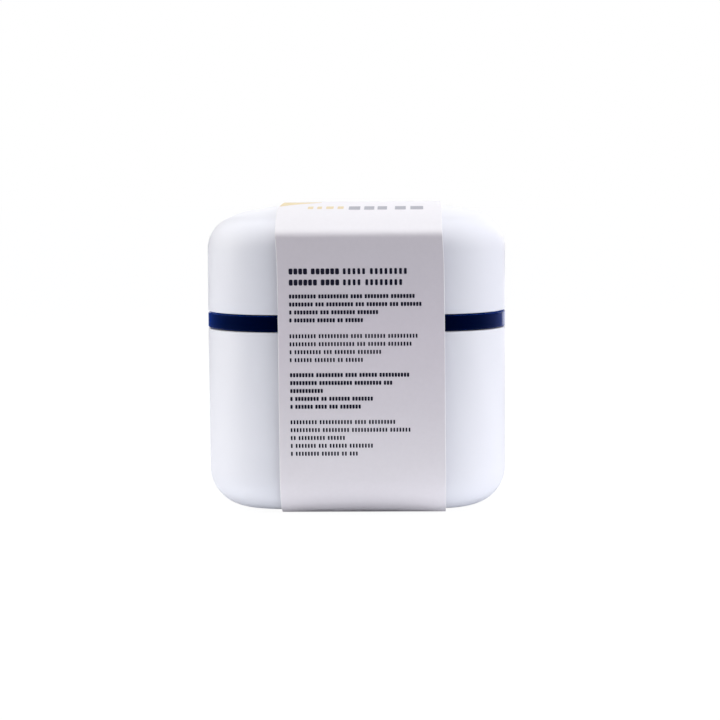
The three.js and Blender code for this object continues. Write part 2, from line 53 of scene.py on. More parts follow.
# Boxes of the CAD nodes, which every piece takes its place from
TUB_LOW, TUB_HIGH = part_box("tub")
LID_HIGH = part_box("lid")[1]
COLLAR_LOW, COLLAR_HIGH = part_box("band_collar")
SLEEVE_LOW, SLEEVE_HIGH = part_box("card_sleeve")
BASKET_LOW, BASKET_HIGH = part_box("strainer_basket")
HANDLE_LOW, HANDLE_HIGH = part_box("strainer_handle")
PIN_LOW, PIN_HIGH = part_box("hinge_pin")
SEAL_LOW, SEAL_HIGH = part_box("seal_ring")
BUTTON_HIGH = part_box("latch_button")[1]

# How near counts as the same place when faces and edges are picked
CLOSE = 0.01 * MM
TIGHT = 0.001 * MM
UPRIGHT_RISE = 1 * MM
UPRIGHT_DRIFT = 0.5 * MM
# How nearly a face or an edge has to point along an axis to count as lying along it
ALONG = 0.9

# Sides of the round parts, and steps of the small rounded edges
ROD_SIDES = 32
FINE_SIDES = 48
EDGE_STEPS = 3
RIM_STEPS = 4
SMALL_BREAK = 0.1 * MM
# A bevel of nearly half a width, which stops just short of meeting itself
NEARLY_HALF = 0.98 / 2

# Case shape
HALF = TUB_HIGH[0]
PLAN_RADIUS = 22.5 * MM
SHOULDER_RADIUS = 10.2 * MM
FOOT_RADIUS = 11.5 * MM
TUB_TAPER = 0.2 * MM
WALL = 2 * MM
CROWN_RISE = 2.2 * MM
CROWN_POWER = 4
CROWN_BLEND = 0.6
CROWN_SMOOTHING = 3
RIM_ROUNDING = 0.45 * MM
RIM_REACH = 0.05 * MM
CORNER_STEPS = 24
FILLET_STEPS = 14
CROWN_RINGS = 10

# Gaps that the fits share
SEAT_GAP = 0.3 * MM
SEAM_GAP = 0.4 * MM
RUNNING_GAP = 0.4 * MM
OVERLAP = 0.4 * MM
OVERRUN = 2 * MM

# Hinge, and the catch tongue of the lid
BAND_HEIGHT = 5.1 * MM
LID_RIM = TUB_HIGH[2] + BAND_HEIGHT
ARM_LENGTH = 8 * MM
ARM_PLACE = 8 * MM
ARM_THICKNESS = 1.8 * MM
ARM_INSET = 0.02 * MM
KNUCKLE_RADIUS = 1.8 * MM
PIN_RADIUS = 0.8 * MM
PIN_HOLE_RADIUS = 1.05 * MM
PIN_SLOT = 1.3 * MM
PIN_DOME = 0.35 * MM
HINGE_Y = (PIN_LOW[1] + PIN_HIGH[1]) / 2
HINGE_Z = (PIN_LOW[2] + PIN_HIGH[2]) / 2
HINGE_AXIS = (HINGE_Y, HINGE_Z)
HINGE_HALF = PIN_HIGH[0]
TONGUE_WIDTH = 10 * MM
TONGUE_BACK = HALF - 1.9 * MM
TONGUE_THICKNESS = 1.1 * MM
TONGUE_LENGTH = 3.6 * MM
TONGUE_LOW = LID_RIM - TONGUE_LENGTH
TONGUE_ROUNDING = 0.2 * MM
WINDOW_WIDTH = 7.2 * MM
WINDOW_HEIGHT = 1.6 * MM
CATCH_BAR = 0.7 * MM

# Navy collar
BAND_LOW = TUB_HIGH[2] + SEAT_GAP
BAND_TOP = LID_RIM - SEAM_GAP
NECK_INSET = 2.4 * MM
NECK_WALL = 1.65 * MM
BORE_INSET = NECK_INSET + NECK_WALL
LEDGE_INSET = BORE_INSET + 3.8 * MM
LEDGE_TOP = COLLAR_LOW[2] + 1.6 * MM
GROOVE_DEPTH = 0.8 * MM
BAND_ROUNDING = 0.25 * MM
NECK_ROUNDING = 0.5 * MM
SKIRT_ROUNDING = 0.4 * MM
SEAL_ROUNDING = 0.25 * MM

# Push button with its hook
BUTTON_TRAVEL = 1 * MM
BUTTON_THICKNESS = 1.1 * MM
BUTTON_HEIGHT = 4 * MM
BUTTON_BACK = BUTTON_HIGH[1] - BUTTON_THICKNESS
BUTTON_MIDDLE = BUTTON_HIGH[2] - BUTTON_HEIGHT / 2
BUTTON_ROUNDING = 0.25 * MM
BUTTON_END_STEPS = 16
DISH_BORDER = 0.6 * MM
DISH_DEPTH = 0.2 * MM
STEM_PLACE = 6.9 * MM
STEM_RADIUS = 0.9 * MM
STEM_LENGTH = 2 * MM
STEM_ROUNDING = 0.2 * MM
HOOK_WIDTH = 6.4 * MM
HOOK_THICKNESS = 0.9 * MM
HOOK_LOW = TONGUE_LOW - SEAT_GAP - HOOK_THICKNESS
HOOK_FRONT = TONGUE_BACK - RUNNING_GAP
HOOK_BACK = HOOK_FRONT - HOOK_THICKNESS
NOSE_LENGTH = 1.25 * MM
NOSE_LOW = TONGUE_LOW + CATCH_BAR + SEAT_GAP
NOSE_TOP = NOSE_LOW + 0.9 * MM
POCKET_HALF = HOOK_WIDTH / 2 + RUNNING_GAP
POCKET_BACK = HOOK_BACK - BUTTON_TRAVEL - SEAT_GAP
POCKET_TOP = NOSE_TOP + RUNNING_GAP
BOSS_WALL = 1.3 * MM
SPRING_BORE = 1.75 * MM
SPRING_SEAT = 2 * MM

# Strainer and its handle
BASKET_INSET = LEDGE_INSET + 0.3 * MM
BASKET_WALL = 1.5 * MM
BASKET_TAPER = 1.49 * MM
BASKET_FOOT = 8 * MM
BASKET_FOOT_STEPS = 10
BASKET_BREAK = 0.15 * MM
RIM_WIDTH = 1.8 * MM
RIM_THICKNESS = 1.6 * MM
RIM_TOP_ROUNDING = 0.6 * MM
RIM_UNDER_ROUNDING = 0.4 * MM
DRAIN_RADIUS = 2 * MM
DRAIN_PITCH = 8 * MM
DRAIN_ROWS = 7
SLIT_WIDTH = 3 * MM
SLIT_HEIGHT = 17 * MM
SLIT_PITCH = 8 * MM
SLITS_PER_SIDE = 5
SLIT_TOP_DROP = 11 * MM
SLIT_END_STEPS = 8
HANDLE_Z = (HANDLE_LOW[2] + HANDLE_HIGH[2]) / 2
HANDLE_AXIS = (0, HANDLE_Z)
HANDLE_HALF = 34.8 * MM
HANDLE_BAR = 3 * MM
HANDLE_THICKNESS = 2.4 * MM
HANDLE_BEND = 7 * MM
HANDLE_BEND_STEPS = 16
HANDLE_ROUNDING = 0.8 * MM
HANDLE_ROUNDING_STEPS = 5
ROOT_ROUNDING = 0.3 * MM
TRUNNION_RADIUS = 1.3 * MM
TRUNNION_HOLE = 1.6 * MM
TRUNNION_ROUNDING = 0.25 * MM

# Card sleeve
CARD = 0.5 * MM
BEND_RADIUS = 14 * MM
CREASE_DROP = 7.7 * MM
CREASE_RADIUS = 1.3 * MM
SLOPE_RUN = 10 * MM
SLOPE_RISE = 6.4 * MM
CROWN_RUN = 37 * MM
SLEEVE_SKEW = 0.35 * MM
CREASE_LEAN = 0.55 * MM
LEAN_HEIGHT = 14 * MM
CARD_ROUNDING = 0.2 * MM
# From this share of its normal pointing sideways, a face shows the card's raw edge
RAW_EDGE = 0.3
INK_LIFT = 0.04 * MM
BEND_STEPS = 8
PANEL_STEPS = 9
CREASE_STEPS = 4
CROWN_STEPS = 18

# Camera, worked out from where the case's edges lie in the photograph
CAMERA_DISTANCE = 0.75
CAMERA_PITCH = 0.09
CAMERA_YAW = -0.025
CAMERA_ROLL = -0.0068
FOCAL_PIXELS = 2393
FRAME_PIXELS = 720
SENSOR_MM = 36
NEAREST_SEEN = 0.05
CENTRE_X = 358.8
CENTRE_Y = 352.6
AIM_HEIGHT = 44.9 * MM


# Selection and editing
def deselect():
    bpy.ops.object.select_all(action="DESELECT")


def activate(obj):
    deselect()
    obj.select_set(True)
    bpy.context.view_layer.objects.active = obj


def pick(obj, kind, test):
    """Enters edit mode with only the elements that pass the test selected."""
    activate(obj)
    bpy.ops.object.mode_set(mode="EDIT")
    bpy.ops.mesh.select_mode(type=kind)
    bpy.ops.mesh.select_all(action="DESELECT")
    mesh = bmesh.from_edit_mesh(obj.data)
    elements = {"VERT": mesh.verts, "EDGE": mesh.edges, "FACE": mesh.faces}[kind]
    for element in elements:
        if test(element):
            element.select_set(True)
    mesh.select_flush_mode()
    bmesh.update_edit_mesh(obj.data)


def done():
    bpy.ops.object.mode_set(mode="OBJECT")


def at_height(z, tolerance=CLOSE):
    """A test for what lies wholly at one height."""
    def test(element):
        points = [element] if isinstance(element, bmesh.types.BMVert) else element.verts
        return all(abs(point.co.z - z) < tolerance for point in points)
    return test


def is_upright(edge):
    low, high = edge.verts
    drift = (low.co.xy - high.co.xy).length
    return abs(low.co.z - high.co.z) > UPRIGHT_RISE and drift < UPRIGHT_DRIFT


def bevel_picked(offset, segments):
    bpy.ops.mesh.bevel(offset=offset, segments=segments, profile=0.5, affect="EDGES")


def apply_modifier(obj, kind, **settings):
    activate(obj)
    modifier = obj.modifiers.new(kind.title(), kind)
    for key, value in settings.items():
        setattr(modifier, key, value)
    bpy.ops.object.modifier_apply(modifier=modifier.name)


def apply_place(obj):
    activate(obj)
    bpy.ops.object.transform_apply(location=True, rotation=True, scale=True)


def box(name, low, high):
    """A box from its lowest to its highest corner."""
    low = Vector(low)
    high = Vector(high)
    deselect()
    bpy.ops.mesh.primitive_cube_add(size=1, location=(low + high) / 2)
    obj = bpy.context.active_object
    obj.name = name
    obj.scale = high - low
    apply_place(obj)
    return obj


def rod(name, radius, start, end, sides=ROD_SIDES):
    """A cylinder between two points."""
    start = Vector(start)
    end = Vector(end)
    deselect()
    bpy.ops.mesh.primitive_cylinder_add(
        vertices=sides, radius=radius, depth=(end - start).length, location=(start + end) / 2)
    obj = bpy.context.active_object
    obj.name = name
    obj.rotation_mode = "QUATERNION"
    obj.rotation_quaternion = (end - start).to_track_quat("Z", "Y")
    apply_place(obj)
    return obj


def cross_rod(name, radius, start, end, axis):
    """A fine cylinder that runs from left to right on an axis, given as its (y, z)."""
    return rod(name, radius, (start, *axis), (end, *axis), FINE_SIDES)


def combine(obj, other, operation):
    """A boolean with another object, which is used up."""
    apply_modifier(obj, "BOOLEAN", object=other, operation=operation, solver="EXACT")
    bpy.data.objects.remove(other, do_unlink=True)


def join(objects):
    activate(objects[0])
    for obj in objects:
        obj.select_set(True)
    bpy.ops.object.join()
    return bpy.context.active_object


def smooth(obj, degrees=30):
    activate(obj)
    bpy.ops.object.shade_smooth_by_angle(angle=math.radians(degrees))


def smooth_flats(obj):
    """Smooth shading that keeps large flat faces plain next to their rounded edges."""
    smooth(obj)
    apply_modifier(obj, "WEIGHTED_NORMAL", keep_sharp=True, weight=100)


def rounded_prism(name, half, radius, low, high):
    """An upright block with the case's rounded square plan."""
    obj = box(name, (-half, -half, low), (half, half, high))
    pick(obj, "EDGE", is_upright)
    bevel_picked(radius, CORNER_STEPS)
    done()
    return obj


def inset_prism(name, inset, low, high):
    """Such a block that stands in from the case's sides all round."""
    return rounded_prism(name, HALF - inset, PLAN_RADIUS - inset, low, high)


def round_level(obj, z, radius, segments):
    """Rounds all the edges that lie at one height."""
    pick(obj, "EDGE", at_height(z))
    bevel_picked(radius, segments)
    done()


def narrow_level(obj, z, share):
    """Draws what lies at one height in towards the middle."""
    pick(obj, "VERT", at_height(z))
    bpy.ops.transform.resize(value=(share, share, 1), center_override=(0, 0, z))
    done()


def edges_along(axis):
    """A test for a block's edges that run along one axis."""
    def test(edge):
        step = edge.verts[1].co - edge.verts[0].co
        return abs(step[axis]) > ALONG * step.length
    return test


def soften(obj, width, segments=2, degrees=40):
    """Breaks the sharp edges that are left."""
    apply_modifier(obj, "BEVEL", width=width, segments=segments, limit_method="ANGLE",
                   angle_limit=math.radians(degrees), use_clamp_overlap=True)


def finish_piece(obj, body, material, slot, *nodes):
    """Gives a piece its material and its body, and hides the CAD nodes that it stands for."""
    if material is not None:
        obj.data.materials.clear()
        obj.data.materials.append(material)
    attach(obj, body)
    if nodes:
        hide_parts(*nodes)


# Nodes: the helpers take and return sockets
def add_node(tree, kind, inputs, **settings):
    """A node whose inputs, by name or number, are each fed by a socket or set to a value."""
    node = tree.nodes.new(kind)
    for key, value in settings.items():
        setattr(node, key, value)
    for key, value in inputs.items():
        if isinstance(value, bpy.types.NodeSocket):
            tree.links.new(value, node.inputs[key])
        else:
            node.inputs[key].default_value = value
    return node.outputs


def calculate(tree, operation, *values):
    inputs = dict(enumerate(values))
    return add_node(tree, "ShaderNodeMath", inputs, operation=operation)["Value"]


def product(tree, first, *others):
    for other in others:
        first = calculate(tree, "MULTIPLY", first, other)
    return first


def rescale(tree, value, start, end, low=0, high=1, curve="LINEAR"):
    """Carries a value from one range over to another and holds it at the ends."""
    limits = {"Value": value, "From Min": start, "From Max": end, "To Min": low, "To Max": high}
    return add_node(tree, "ShaderNodeMapRange", limits, interpolation_type=curve)["Result"]


def colour_ramp(tree, value, stops):
    """The colour for a value from 0 to 1, by stops that are each a position and a colour."""
    ramp = tree.nodes.new("ShaderNodeValToRGB")
    tree.links.new(value, ramp.inputs["Fac"])
    marks = ramp.color_ramp.elements
    marks[0].position, marks[1].position = stops[0][0], stops[-1][0]
    marks[0].color, marks[1].color = (*stops[0][1], 1), (*stops[-1][1], 1)
    for position, colour in stops[1:-1]:
        marks.new(position).color = (*colour, 1)
    return ramp.outputs["Color"]


def noise(tree, scale, detail=4):
    place = tree.nodes.new("ShaderNodeTexCoord").outputs["Object"]
    settings = {"Vector": place, "Scale": scale, "Detail": detail}
    return add_node(tree, "ShaderNodeTexNoise", settings)["Fac"]


# Materials
DRIFT_START = 0.35
DRIFT_END = 0.65


def principled(name, colour, roughness, **settings):
    material = bpy.data.materials.new(name)
    material.use_nodes = True
    shader = material.node_tree.nodes["Principled BSDF"]
    shader.inputs["Base Color"].default_value = (*colour, 1)
    shader.inputs["Roughness"].default_value = roughness
    for key, value in settings.items():
        shader.inputs[key.replace("_", " ")].default_value = value
    return material, shader


def vary_colour(material, shader, scale, dark, light):
    """Lets the base colour drift between two close tones."""
    tree = material.node_tree
    tone = colour_ramp(tree, noise(tree, scale), ((DRIFT_START, dark), (DRIFT_END, light)))
    tree.links.new(tone, shader.inputs["Base Color"])


def vary_roughness(material, shader, scale, low, high):
    tree = material.node_tree
    spread = rescale(tree, noise(tree, scale), 0, 1, low, high)
    tree.links.new(spread, shader.inputs["Roughness"])


def add_grain(material, shader, scale, strength, depth, detail=3):
    """A fine moulded or fibrous surface."""
    tree = material.node_tree
    settings = {"Height": noise(tree, scale, detail), "Strength": strength, "Distance": depth}
    grain = add_node(tree, "ShaderNodeBump", settings)["Normal"]
    tree.links.new(grain, shader.inputs["Normal"])


CARD_PALE = (0.78, 0.76, 0.78)
# Painted shade on the card by the share of the sleeve's height: greyest under the crease, paler
# towards the foot, then the top's own pale tone above the crease; and the least and most of its
# mottle
CARD_PAINTED_SHADE = (
    (0.05, (0.880, 0.846, 0.878)),
    (0.20, (0.824, 0.791, 0.826)),
    (0.35, (0.782, 0.742, 0.784)),
    (0.60, (0.747, 0.697, 0.749)),
    (0.80, (0.706, 0.665, 0.712)),
    (0.90, (0.690, 0.651, 0.694)),
    (0.93, (0.851, 0.838, 0.866)),
)
CARD_MOTTLE = (0.975, 1.02)


def white_plastic():
    material, shader = principled("white_satin_plastic", (0.86, 0.87, 0.92), roughness=0.32)
    vary_colour(material, shader, scale=18, dark=(0.845, 0.855, 0.912), light=(0.872, 0.88, 0.93))
    vary_roughness(material, shader, scale=60, low=0.27, high=0.36)
    add_grain(material, shader, scale=1400, strength=0.08, depth=0.02 * MM)
    return material


def navy_plastic():
    """Deep gloss, with a little blue sheen where the light grazes it."""
    material, shader = principled(
        "navy_gloss_plastic", (0.0, 0.0008, 0.009), roughness=0.08,
        Specular_IOR_Level=0.15, Specular_Tint=(0.0, 0.1, 0.6, 1),
        Sheen_Weight=0.5, Sheen_Roughness=0.45, Sheen_Tint=(0.0, 0.12, 1.0, 1))
    vary_colour(material, shader, scale=25, dark=(0.0, 0.0004, 0.007), light=(0.0001, 0.0009, 0.01))
    vary_roughness(material, shader, scale=90, low=0.05, high=0.11)
    return material


def sleeve_card():
    """Coated card, darkened by painted shade that is greyest under the crease and fades to pale at
    the foot.
    """
    material, shader = principled("coated_card", CARD_PALE, roughness=0.55)
    tree = material.node_tree
    place = tree.nodes.new("ShaderNodeTexCoord").outputs["Object"]
    z = add_node(tree, "ShaderNodeSeparateXYZ", {"Vector": place})["Z"]
    # Painted shade: the base colour darkens up the panels towards the crease, standing in for the
    # floor's light reaching the foot more than the top
    painted_shade = colour_ramp(tree, rescale(tree, z, SLEEVE_LOW[2], SLEEVE_HIGH[2]), CARD_PAINTED_SHADE)
    mottle = rescale(tree, noise(tree, scale=900, detail=5), 0, 1, *CARD_MOTTLE)
    shade_and_mottle = add_node(
        tree, "ShaderNodeVectorMath", {"Vector": painted_shade, "Scale": mottle}, operation="SCALE")
    tree.links.new(shade_and_mottle["Vector"], shader.inputs["Base Color"])
    add_grain(material, shader, scale=2200, strength=0.12, depth=0.02 * MM, detail=6)
    return material


def card_core():
    material, shader = principled("card_edge", (0.93, 0.92, 0.92), roughness=0.8)
    vary_colour(material, shader, scale=900, dark=(0.90, 0.89, 0.89), light=(0.95, 0.945, 0.94))
    add_grain(material, shader, scale=5000, strength=0.3, depth=0.03 * MM)
    return material


def print_ink(name, colour):
    material, shader = principled(name, colour, roughness=0.5, Specular_IOR_Level=0.2)
    vary_roughness(material, shader, scale=700, low=0.42, high=0.58)
    return material


def silicone():
    material, shader = principled("soft_silicone", (0.55, 0.6, 0.65), roughness=0.5)
    vary_colour(material, shader, scale=120, dark=(0.53, 0.58, 0.63), light=(0.58, 0.63, 0.68))
    add_grain(material, shader, scale=3000, strength=0.1, depth=0.02 * MM)
    return material


def steel():
    material, shader = principled("drawn_steel", (0.56, 0.57, 0.58), roughness=0.28, Metallic=1.0)
    vary_roughness(material, shader, scale=1500, low=0.2, high=0.38)
    return material


WHITE = white_plastic()
NAVY = navy_plastic()
CARD_FACE = sleeve_card()
CARD_EDGE = card_core()
NAVY_INK = print_ink("navy_ink", (0.006, 0.006, 0.022))
AMBER_INK = print_ink("amber_ink", (0.78, 0.66, 0.42))
GREY_INK = print_ink("grey_ink", (0.42, 0.42, 0.47))
SILICONE = silicone()
STEEL = steel()


# White tub
def make_tub():
    obj = rounded_prism("tub_shell", HALF, PLAN_RADIUS, TUB_LOW[2], TUB_HIGH[2])
    narrow_level(obj, TUB_LOW[2], (HALF - TUB_TAPER) / HALF)
    round_level(obj, TUB_LOW[2], FOOT_RADIUS, FILLET_STEPS)
    open_shell(obj, TUB_HIGH[2])
    smooth(obj)
    finish_piece(obj, "base", WHITE, "white_plastic", "tub")


def open_shell(obj, z):
    """Takes off the face at one height, and gives what is left its wall and its rim."""
    pick(obj, "FACE", at_height(z))
    bpy.ops.mesh.delete(type="FACE")
    done()
    apply_modifier(obj, "SOLIDIFY", thickness=WALL, offset=-1, use_even_offset=True)
    round_rim(obj, z)


def round_rim(obj, z):
    """Rounds the two edges of a shell's rim, which lie at one height and bound its flat."""
    def is_rim_edge(edge):
        if not at_height(z, RIM_REACH)(edge):
            return False
        flat = [face for face in edge.link_faces if abs(face.normal.z) > ALONG]
        return len(flat) == 1
    pick(obj, "EDGE", is_rim_edge)
    bevel_picked(RIM_ROUNDING, RIM_STEPS)
    done()


# White lid with its hinge arms and catch tongue
def make_lid():
    shoulder_top = LID_HIGH[2] - CROWN_RISE
    obj = rounded_prism("lid_shell", HALF, PLAN_RADIUS, LID_RIM, shoulder_top)
    round_level(obj, shoulder_top, SHOULDER_RADIUS, FILLET_STEPS)
    raise_crown(obj, shoulder_top)
    open_shell(obj, LID_RIM)
    add_lid_fittings(obj)
    smooth(obj)
    finish_piece(obj, "lid_body", WHITE, "white_plastic", "lid")


def raise_crown(obj, shoulder_top):
    """Draws the lid's flat top up and in, ring by ring, to a low crown."""
    pick(obj, "FACE", at_height(shoulder_top))
    reach = 1.0
    for ring in range(1, CROWN_RINGS + 1):
        next_reach = 1 - ring / (CROWN_RINGS + 1)
        rise = CROWN_RISE * (reach ** CROWN_POWER - next_reach ** CROWN_POWER)
        bpy.ops.mesh.extrude_region_move(TRANSFORM_OT_translate={"value": (0, 0, rise)})
        share = next_reach / reach
        bpy.ops.transform.resize(value=(share, share, 1), center_override=(0, 0, 0))
        reach = next_reach
    done()
    pick(obj, "VERT", lambda vertex: abs(vertex.co.z - shoulder_top) < CROWN_RISE * CROWN_BLEND)
    bpy.ops.mesh.vertices_smooth(factor=0.5, repeat=CROWN_SMOOTHING)
    done()


def add_lid_fittings(obj):
    root = LID_RIM + RIM_ROUNDING + OVERLAP
    for side in (-1, 1):
        start = side * ARM_PLACE - ARM_LENGTH / 2
        end = start + ARM_LENGTH
        arm = box("arm", (start, -HALF + ARM_INSET, HINGE_Z), (end, -HALF + ARM_THICKNESS, root))
        combine(arm, cross_rod("knuckle", KNUCKLE_RADIUS, start, end, HINGE_AXIS), "UNION")
        combine(obj, arm, "UNION")
    tongue_front = TONGUE_BACK + TONGUE_THICKNESS
    tongue = box("tongue", (-TONGUE_WIDTH / 2, TONGUE_BACK, TONGUE_LOW),
                 (TONGUE_WIDTH / 2, tongue_front, root))
    round_level(tongue, TONGUE_LOW, TONGUE_ROUNDING, EDGE_STEPS)
    window_low = TONGUE_LOW + CATCH_BAR
    window = box("window", (-WINDOW_WIDTH / 2, TONGUE_BACK - OVERRUN, window_low),
                 (WINDOW_WIDTH / 2, tongue_front + OVERRUN, window_low + WINDOW_HEIGHT))
    combine(tongue, window, "DIFFERENCE")
    combine(obj, tongue, "UNION")
    hole = cross_rod("pin_hole", PIN_HOLE_RADIUS, -HALF / 2, HALF / 2, HINGE_AXIS)
    combine(obj, hole, "DIFFERENCE")


# Navy collar: a band flush with the case, a neck inside the lid and a skirt inside the tub
def make_collar():
    obj = rounded_prism("collar_band", HALF, PLAN_RADIUS, BAND_LOW, BAND_TOP)
    round_level(obj, BAND_LOW, BAND_ROUNDING, EDGE_STEPS)
    round_level(obj, BAND_TOP, BAND_ROUNDING, EDGE_STEPS)
    top, foot = COLLAR_HIGH[2], COLLAR_LOW[2]
    neck = inset_prism("neck", NECK_INSET, BAND_LOW + OVERLAP, top)
    round_level(neck, top, NECK_ROUNDING, EDGE_STEPS)
    skirt = inset_prism("skirt", WALL + SEAT_GAP, foot, BAND_LOW + 2 * OVERLAP)
    round_level(skirt, foot, SKIRT_ROUNDING, EDGE_STEPS)
    combine(obj, neck, "UNION")
    combine(obj, skirt, "UNION")
    bore = inset_prism("bore", BORE_INSET, LEDGE_TOP, top + OVERRUN)
    combine(obj, bore, "DIFFERENCE")
    mouth = inset_prism("mouth", LEDGE_INSET, foot - OVERRUN, LEDGE_TOP + OVERRUN)
    combine(obj, mouth, "DIFFERENCE")
    low, high = SEAL_LOW[2], SEAL_HIGH[2]
    groove = inset_prism("groove", NECK_INSET - OVERRUN, low - SEAT_GAP, high + SEAT_GAP)
    core = inset_prism("core", NECK_INSET + GROOVE_DEPTH, low - OVERRUN, high + OVERRUN)
    combine(groove, core, "DIFFERENCE")
    combine(obj, groove, "DIFFERENCE")
    add_hinge_to_collar(obj)
    add_catch_to_collar(obj)
    soften(obj, SMALL_BREAK)
    smooth_flats(obj)
    finish_piece(obj, "base", NAVY, "navy_plastic", "band_collar")


def add_hinge_to_collar(obj):
    """A knuckle with gaps for the lid's two arms, and a slot that the pin snaps in through."""
    start, end = -HINGE_HALF, HINGE_HALF
    clear = KNUCKLE_RADIUS + SEAT_GAP
    combine(obj, cross_rod("knuckle", KNUCKLE_RADIUS, start, end, HINGE_AXIS), "UNION")
    for side in (-1, 1):
        near = side * ARM_PLACE - ARM_LENGTH / 2 - SEAT_GAP
        far = side * ARM_PLACE + ARM_LENGTH / 2 + SEAT_GAP
        combine(obj, cross_rod("gap", clear, near, far, HINGE_AXIS), "DIFFERENCE")
        slot = box("arm_slot", (near, -HALF - OVERRUN, HINGE_Z - clear),
                   (far, -HALF + ARM_THICKNESS + SEAT_GAP, BAND_TOP + OVERRUN))
        combine(obj, slot, "DIFFERENCE")
    start, end = start - SEAT_GAP, end + SEAT_GAP
    snap = box("snap_slot", (start, HINGE_Y - KNUCKLE_RADIUS - OVERRUN, HINGE_Z - PIN_SLOT / 2),
               (end, HINGE_Y, HINGE_Z + PIN_SLOT / 2))
    combine(obj, snap, "DIFFERENCE")
    combine(obj, cross_rod("pin_hole", PIN_HOLE_RADIUS, start, end, HINGE_AXIS), "DIFFERENCE")


def add_catch_to_collar(obj):
    """A boss with the button's recess, and room for the tongue, the hook and the springs."""
    boss_half = POCKET_HALF + BOSS_WALL
    boss = box("boss", (-boss_half, POCKET_BACK - BOSS_WALL, BAND_LOW),
               (boss_half, HALF - BORE_INSET + SEAT_GAP, POCKET_TOP + BOSS_WALL))
    combine(obj, boss, "UNION")
    recess_half = BUTTON_HIGH[0] + RUNNING_GAP
    slot_half = TONGUE_WIDTH / 2 + RUNNING_GAP
    cuts = [
        box("recess", (-recess_half, BUTTON_BACK - BUTTON_TRAVEL - SEAT_GAP, BAND_LOW - SEAT_GAP),
            (recess_half, HALF + OVERRUN, BAND_TOP + SEAT_GAP)),
        box("tongue_slot", (-slot_half, TONGUE_BACK - SEAT_GAP, TONGUE_LOW - SEAT_GAP),
            (slot_half, HALF + OVERRUN, BAND_TOP + OVERRUN)),
        box("hook_slot", (-POCKET_HALF, POCKET_BACK, HOOK_LOW - SEAT_GAP),
            (POCKET_HALF, HALF + OVERRUN, TONGUE_LOW)),
        box("pocket", (-POCKET_HALF, POCKET_BACK, HOOK_LOW - SEAT_GAP),
            (POCKET_HALF, TONGUE_BACK, POCKET_TOP)),
    ]
    stem_end = BUTTON_BACK - STEM_LENGTH - BUTTON_TRAVEL - SEAT_GAP
    for side in (-1, 1):
        x = side * STEM_PLACE
        cuts.append(rod("stem_hole", STEM_RADIUS + SEAT_GAP, (x, stem_end, BUTTON_MIDDLE),
                        (x, HALF + OVERRUN, BUTTON_MIDDLE)))
        cuts.append(rod("spring_seat", SPRING_BORE, (x, HALF - SPRING_SEAT, BUTTON_MIDDLE),
                        (x, HALF + OVERRUN, BUTTON_MIDDLE)))
    for cut in cuts:
        combine(obj, cut, "DIFFERENCE")


# Soft ring in the neck's groove
def make_seal():
    low, high = SEAL_LOW[2], SEAL_HIGH[2]
    outset = HALF - SEAL_HIGH[0]
    obj = rounded_prism("neck_seal", SEAL_HIGH[0], PLAN_RADIUS - outset, low, high)
    round_level(obj, low, SEAL_ROUNDING, RIM_STEPS)
    round_level(obj, high, SEAL_ROUNDING, RIM_STEPS)
    inner = NECK_INSET + GROOVE_DEPTH - SEAT_GAP
    combine(obj, inset_prism("bore", inner, low - OVERRUN, high + OVERRUN), "DIFFERENCE")
    soften(obj, SMALL_BREAK)
    smooth(obj)
    finish_piece(obj, "base", SILICONE, "silicone", "seal_ring")


# Hinge pin with domed ends
def make_pin():
    obj = cross_rod("lid_pin", PIN_RADIUS, PIN_LOW[0], PIN_HIGH[0], HINGE_AXIS)
    soften(obj, PIN_DOME, RIM_STEPS)
    smooth(obj)
    finish_piece(obj, "lid_body", STEEL, "steel", "hinge_pin")


# Push button: a rounded plate, a hook that goes under and behind the tongue, and two stems
def make_button():
    half = BUTTON_HIGH[0]
    obj = box("button_cap", (-half, BUTTON_BACK, BUTTON_HIGH[2] - BUTTON_HEIGHT),
              (half, BUTTON_HIGH[1], BUTTON_HIGH[2]))
    pick(obj, "EDGE", edges_along(1))
    bevel_picked(BUTTON_HEIGHT * NEARLY_HALF, BUTTON_END_STEPS)
    done()
    pick(obj, "FACE", lambda face: face.normal.y > ALONG)
    bpy.ops.mesh.inset(thickness=DISH_BORDER)
    bpy.ops.transform.translate(value=(0, -DISH_DEPTH, 0))
    done()
    soften(obj, BUTTON_ROUNDING, RIM_STEPS, degrees=50)
    hook_half = HOOK_WIDTH / 2
    inside = BUTTON_BACK + BUTTON_THICKNESS / 2
    nose_end = HOOK_FRONT + NOSE_LENGTH
    parts = [
        box("foot", (-hook_half, HOOK_BACK, HOOK_LOW),
            (hook_half, inside, HOOK_LOW + HOOK_THICKNESS)),
        box("riser", (-hook_half, HOOK_BACK, HOOK_LOW), (hook_half, HOOK_FRONT, NOSE_TOP)),
        box("nose", (-hook_half, HOOK_BACK, NOSE_LOW), (hook_half, nose_end, NOSE_TOP)),
    ]
    for side in (-1, 1):
        x = side * STEM_PLACE
        stem = rod("stem", STEM_RADIUS, (x, BUTTON_BACK - STEM_LENGTH, BUTTON_MIDDLE),
                   (x, inside, BUTTON_MIDDLE))
        soften(stem, STEM_ROUNDING, EDGE_STEPS)
        parts.append(stem)
    for part in parts:
        combine(obj, part, "UNION")
    smooth_flats(obj)
    finish_piece(obj, "button", NAVY, "navy_plastic", "latch_button")


# Navy strainer: a tapered cup with a rim, drain holes and slits
def cup_block(name, inset, low, high, foot):
    """A block that narrows downwards to a rounded foot."""
    obj = inset_prism(name, inset, low, high)
    narrow_level(obj, low, (HALF - inset - BASKET_TAPER) / (HALF - inset))
    round_level(obj, low, foot, BASKET_FOOT_STEPS)
    return obj


